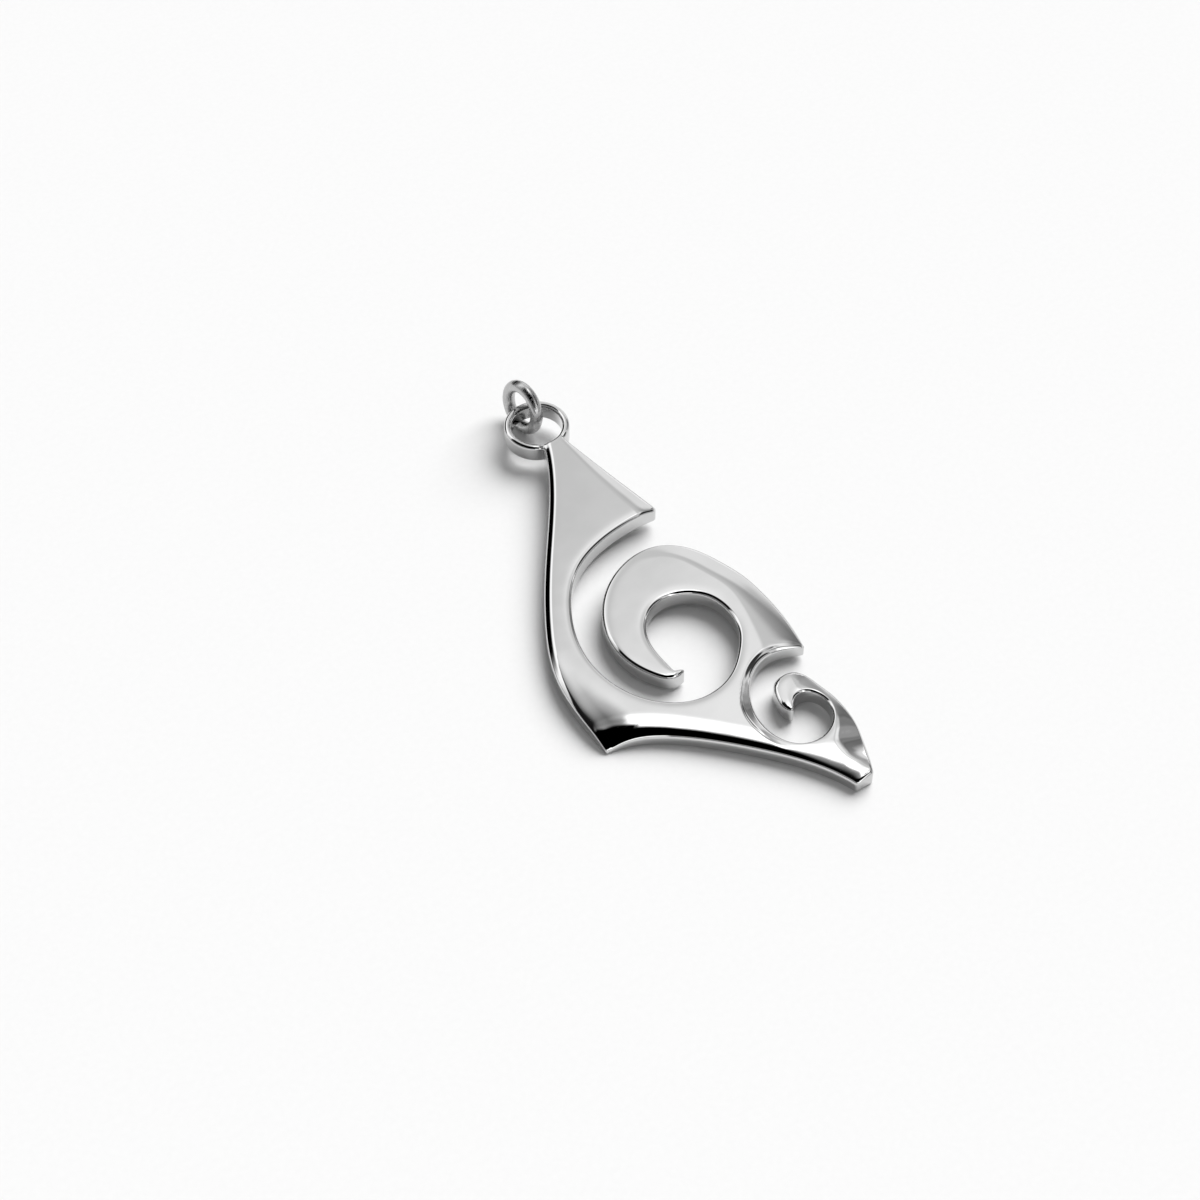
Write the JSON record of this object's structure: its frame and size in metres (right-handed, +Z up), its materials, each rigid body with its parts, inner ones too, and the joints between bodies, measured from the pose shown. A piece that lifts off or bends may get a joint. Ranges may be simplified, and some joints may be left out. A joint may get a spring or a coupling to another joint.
{
  "type": "leaf scroll pendant with jump ring",
  "caption": "Flat polished-steel pendant shaped like a leaf or wing, its right side cut into curling waves, with a round eye at the top and a closed jump ring through it.",
  "frame": {"origin": "on the floor under the middle of the part's bounding box, as it lies on its back", "axes": "+Z up out of the face, +Y along the leaf from the far end to the eye, +X to the side with the scrolls"},
  "size_m": [0.0182, 0.0466, 0.0046],
  "materials": {
    "plate_steel": "mirror-polished stainless steel",
    "ring_steel": "polished stainless steel wire"
  },
  "bodies": {
    "root": {"scroll_plate": "plate_steel", "jump_ring": "ring_steel"}
  },
  "joints": []
}
